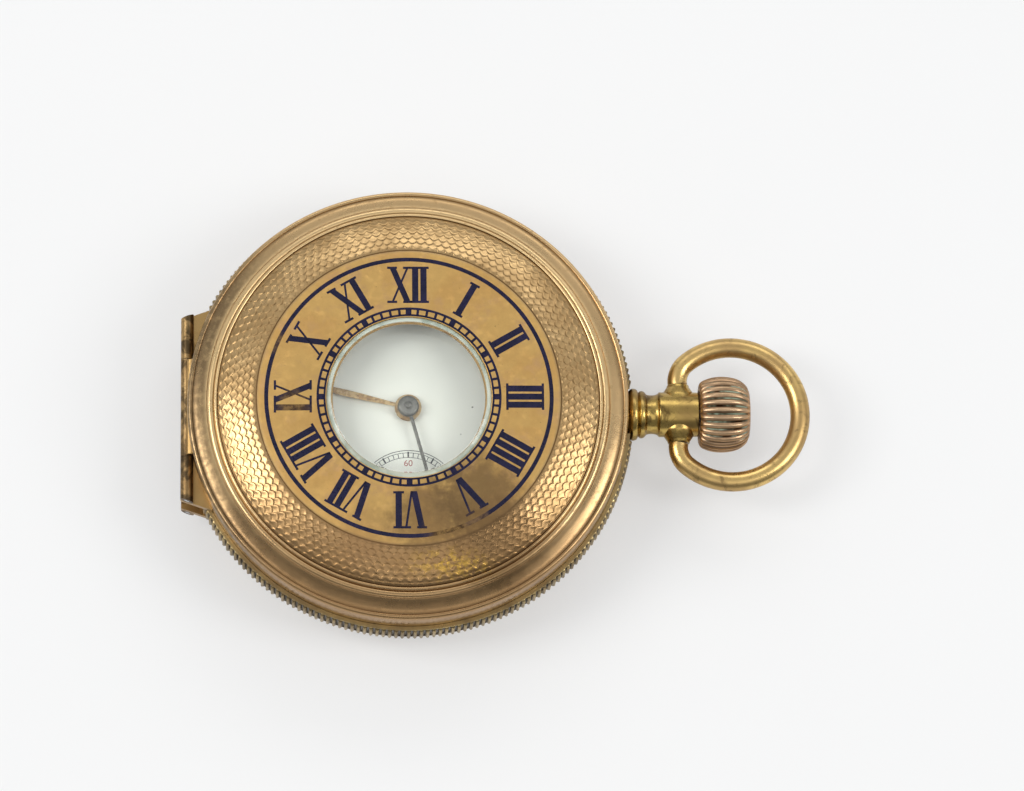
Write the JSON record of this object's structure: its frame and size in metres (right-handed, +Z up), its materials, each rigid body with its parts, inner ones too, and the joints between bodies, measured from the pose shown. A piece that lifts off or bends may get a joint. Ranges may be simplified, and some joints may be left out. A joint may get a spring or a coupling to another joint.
{
  "type": "half hunter pocket watch",
  "caption": "Worn brass half hunter pocket watch with a small window in its hinged front cover, ribbed band, fluted crown and swinging bow.",
  "frame": {"origin": "centre of the flat face that the watch rests on, under the middle of the case", "axes": "+Z up through the dial and the front cover, +Y towards 12 o'clock, +X along the pendant at 3 o'clock"},
  "size_m": [0.0696, 0.05, 0.015],
  "materials": {
    "brass_case": "worn satin",
    "brass_bow": "worn satin",
    "gilt_movement": "gilt, fine matt",
    "steel": "polished",
    "blued_steel": "blued",
    "enamel_dial": "glossy white enamel",
    "glass": "clear",
    "red_stone": "polished",
    "gold_hand": "tarnished"
  },
  "bodies": {
    "case": {"case_middle": "brass_case", "milled_band": "brass_case", "pendant_tube": "brass_case", "front_hinge_case_tubes": "brass_case", "front_hinge_pin": "steel", "back_hinge_case_tubes": "brass_case", "back_hinge_pin": "steel", "lock_spring": "steel", "lift_spring": "steel", "inner_bezel": "brass_case", "inner_crystal": "glass", "dial": "enamel_dial", "main_plate": "gilt_movement", "barrel_bridge": "gilt_movement", "train_bridge": "gilt_movement", "balance_cock": "gilt_movement", "pallet_cock": "gilt_movement", "jewels": "red_stone", "bridge_screws": "blued_steel", "case_screws": "steel", "minute_wheel_post": "steel", "click_spring": "steel"},
    "front_cover": {"front_cover": "brass_case", "cover_glass": "glass", "cover_glass_ring": "brass_case", "front_hinge_cover_tube": "brass_case"},
    "back_cover": {"back_cover": "brass_case", "back_hinge_cover_tube": "brass_case"},
    "cuvette": {"cuvette": "brass_case", "cuvette_hinge_tubes": "brass_case"},
    "bow": {"bow": "brass_bow"},
    "winding_pinion": {"winding_pinion": "steel"},
    "crown": {"crown": "brass_case", "winding_stem": "steel", "clutch": "steel"},
    "crown_wheel": {"crown_wheel": "steel", "crown_wheel_screw": "blued_steel"},
    "ratchet": {"ratchet_wheel": "steel", "ratchet_screw": "blued_steel", "barrel_arbor": "steel", "mainspring": "blued_steel"},
    "barrel": {"barrel_drum": "gilt_movement", "barrel_cover": "gilt_movement"},
    "centre_wheel": {"centre_wheel": "gilt_movement"},
    "third_wheel": {"third_wheel": "gilt_movement"},
    "fourth_wheel": {"fourth_wheel": "gilt_movement", "seconds_hand": "steel"},
    "escape_wheel": {"escape_wheel": "steel"},
    "pallet_fork": {"pallet_fork": "steel"},
    "balance": {"balance_wheel": "gilt_movement", "balance_staff": "steel", "hairspring": "blued_steel"},
    "regulator": {"regulator": "steel"},
    "click": {"click": "steel"},
    "cannon": {"cannon_pinion": "steel", "minute_hand": "steel"},
    "minute_wheel": {"minute_wheel": "gilt_movement"},
    "hour": {"hour_wheel": "gilt_movement", "hour_hand": "gold_hand"}
  },
  "joints": [
    {"name": "front_cover_open", "type": "hinge", "parent": "case", "child": "front_cover", "pos_m": [-0.02427, 0, 0.00973], "axis": [0, -1, 0], "range_deg": [0, 100]},
    {"name": "back_cover_open", "type": "hinge", "parent": "case", "child": "back_cover", "pos_m": [-0.02427, 0, 0.00413], "axis": [0, 1, 0], "range_deg": [0, 100]},
    {"name": "cuvette_open", "type": "hinge", "parent": "case", "child": "cuvette", "pos_m": [-0.02427, 0, 0.00413], "axis": [0, 1, 0], "range_deg": [0, 90]},
    {"name": "bow_swing", "type": "hinge", "parent": "case", "child": "bow", "pos_m": [0.03, 0, 0.007], "axis": [0, 1, 0], "range_deg": [-90, 90]},
    {"name": "crown_wind", "type": "hinge", "parent": "case", "child": "winding_pinion", "pos_m": [0.028, 0, 0.007], "axis": [1, 0, 0], "continuous": true},
    {"name": "crown_slide", "type": "slide", "parent": "winding_pinion", "child": "crown", "axis": [1, 0, 0], "range_m": [-0.0005, 0.0008], "stiffness_N_per_m": 600},
    {"name": "crown_wheel_turn", "type": "hinge", "parent": "case", "child": "crown_wheel", "pos_m": [0.01498, 0, 0.003], "axis": [0, 0, 1], "continuous": true},
    {"name": "ratchet_turn", "type": "hinge", "parent": "case", "child": "ratchet", "pos_m": [0.00602, 0.00668, 0.003], "axis": [0, 0, 1], "continuous": true},
    {"name": "click_turn", "type": "hinge", "parent": "case", "child": "click", "pos_m": [0.0039, 0.01459, 0.003], "axis": [0, 0, -1], "range_deg": [0, 10], "stiffness_Nm_per_rad": 0.0005},
    {"name": "seconds_turn", "type": "hinge", "parent": "case", "child": "fourth_wheel", "pos_m": [0, -0.01, 0.005], "axis": [0, 0, -1], "continuous": true},
    {"name": "third_wheel_turn", "type": "hinge", "parent": "case", "child": "third_wheel", "pos_m": [-0.00289, -0.0054, 0.005], "axis": [0, 0, -1], "continuous": true},
    {"name": "centre_wheel_turn", "type": "hinge", "parent": "case", "child": "centre_wheel", "pos_m": [0, 0, 0.005], "axis": [0, 0, -1], "continuous": true},
    {"name": "barrel_turn", "type": "hinge", "parent": "case", "child": "barrel", "pos_m": [0.00602, 0.00668, 0.005], "axis": [0, 0, -1], "continuous": true},
    {"name": "escape_wheel_turn", "type": "hinge", "parent": "case", "child": "escape_wheel", "pos_m": [-0.00514, -0.01123, 0.005], "axis": [0, 0, -1], "continuous": true},
    {"name": "pallet_rock", "type": "hinge", "parent": "case", "child": "pallet_fork", "pos_m": [-0.00747, -0.00862, 0.005], "axis": [0, 0, 1], "range_deg": [-2, 2]},
    {"name": "balance_swing", "type": "hinge", "parent": "case", "child": "balance", "pos_m": [-0.0116, -0.00399, 0.004], "axis": [0, 0, 1], "range_deg": [-150, 150]},
    {"name": "regulator_turn", "type": "hinge", "parent": "case", "child": "regulator", "pos_m": [-0.0116, -0.00399, 0.0024], "axis": [0, 0, 1], "range_deg": [-20, 20]},
    {"name": "minute_hand_turn", "type": "hinge", "parent": "case", "child": "cannon", "pos_m": [0, 0, 0.009], "axis": [0, 0, -1], "continuous": true},
    {"name": "minute_wheel_turn", "type": "hinge", "parent": "case", "child": "minute_wheel", "pos_m": [0.0018, 0.00339, 0.008], "axis": [0, 0, -1], "continuous": true},
    {"name": "hour_hand_turn", "type": "hinge", "parent": "case", "child": "hour", "pos_m": [0, 0, 0.009], "axis": [0, 0, -1], "continuous": true}
  ],
  "couplings": [
    {"joint": "cuvette_open", "follows": "back_cover_open", "ratio": 0.9},
    {"joint": "crown_wheel_turn", "follows": "crown_wind", "ratio": 0.5},
    {"joint": "ratchet_turn", "follows": "crown_wind", "ratio": -0.35714},
    {"joint": "third_wheel_turn", "follows": "seconds_turn", "ratio": -0.13333},
    {"joint": "centre_wheel_turn", "follows": "seconds_turn", "ratio": 0.016667},
    {"joint": "barrel_turn", "follows": "seconds_turn", "ratio": -0.0027778},
    {"joint": "escape_wheel_turn", "follows": "seconds_turn", "ratio": -10},
    {"joint": "minute_wheel_turn", "follows": "minute_hand_turn", "ratio": -0.33333},
    {"joint": "hour_hand_turn", "follows": "minute_hand_turn", "ratio": 0.083333}
  ]
}
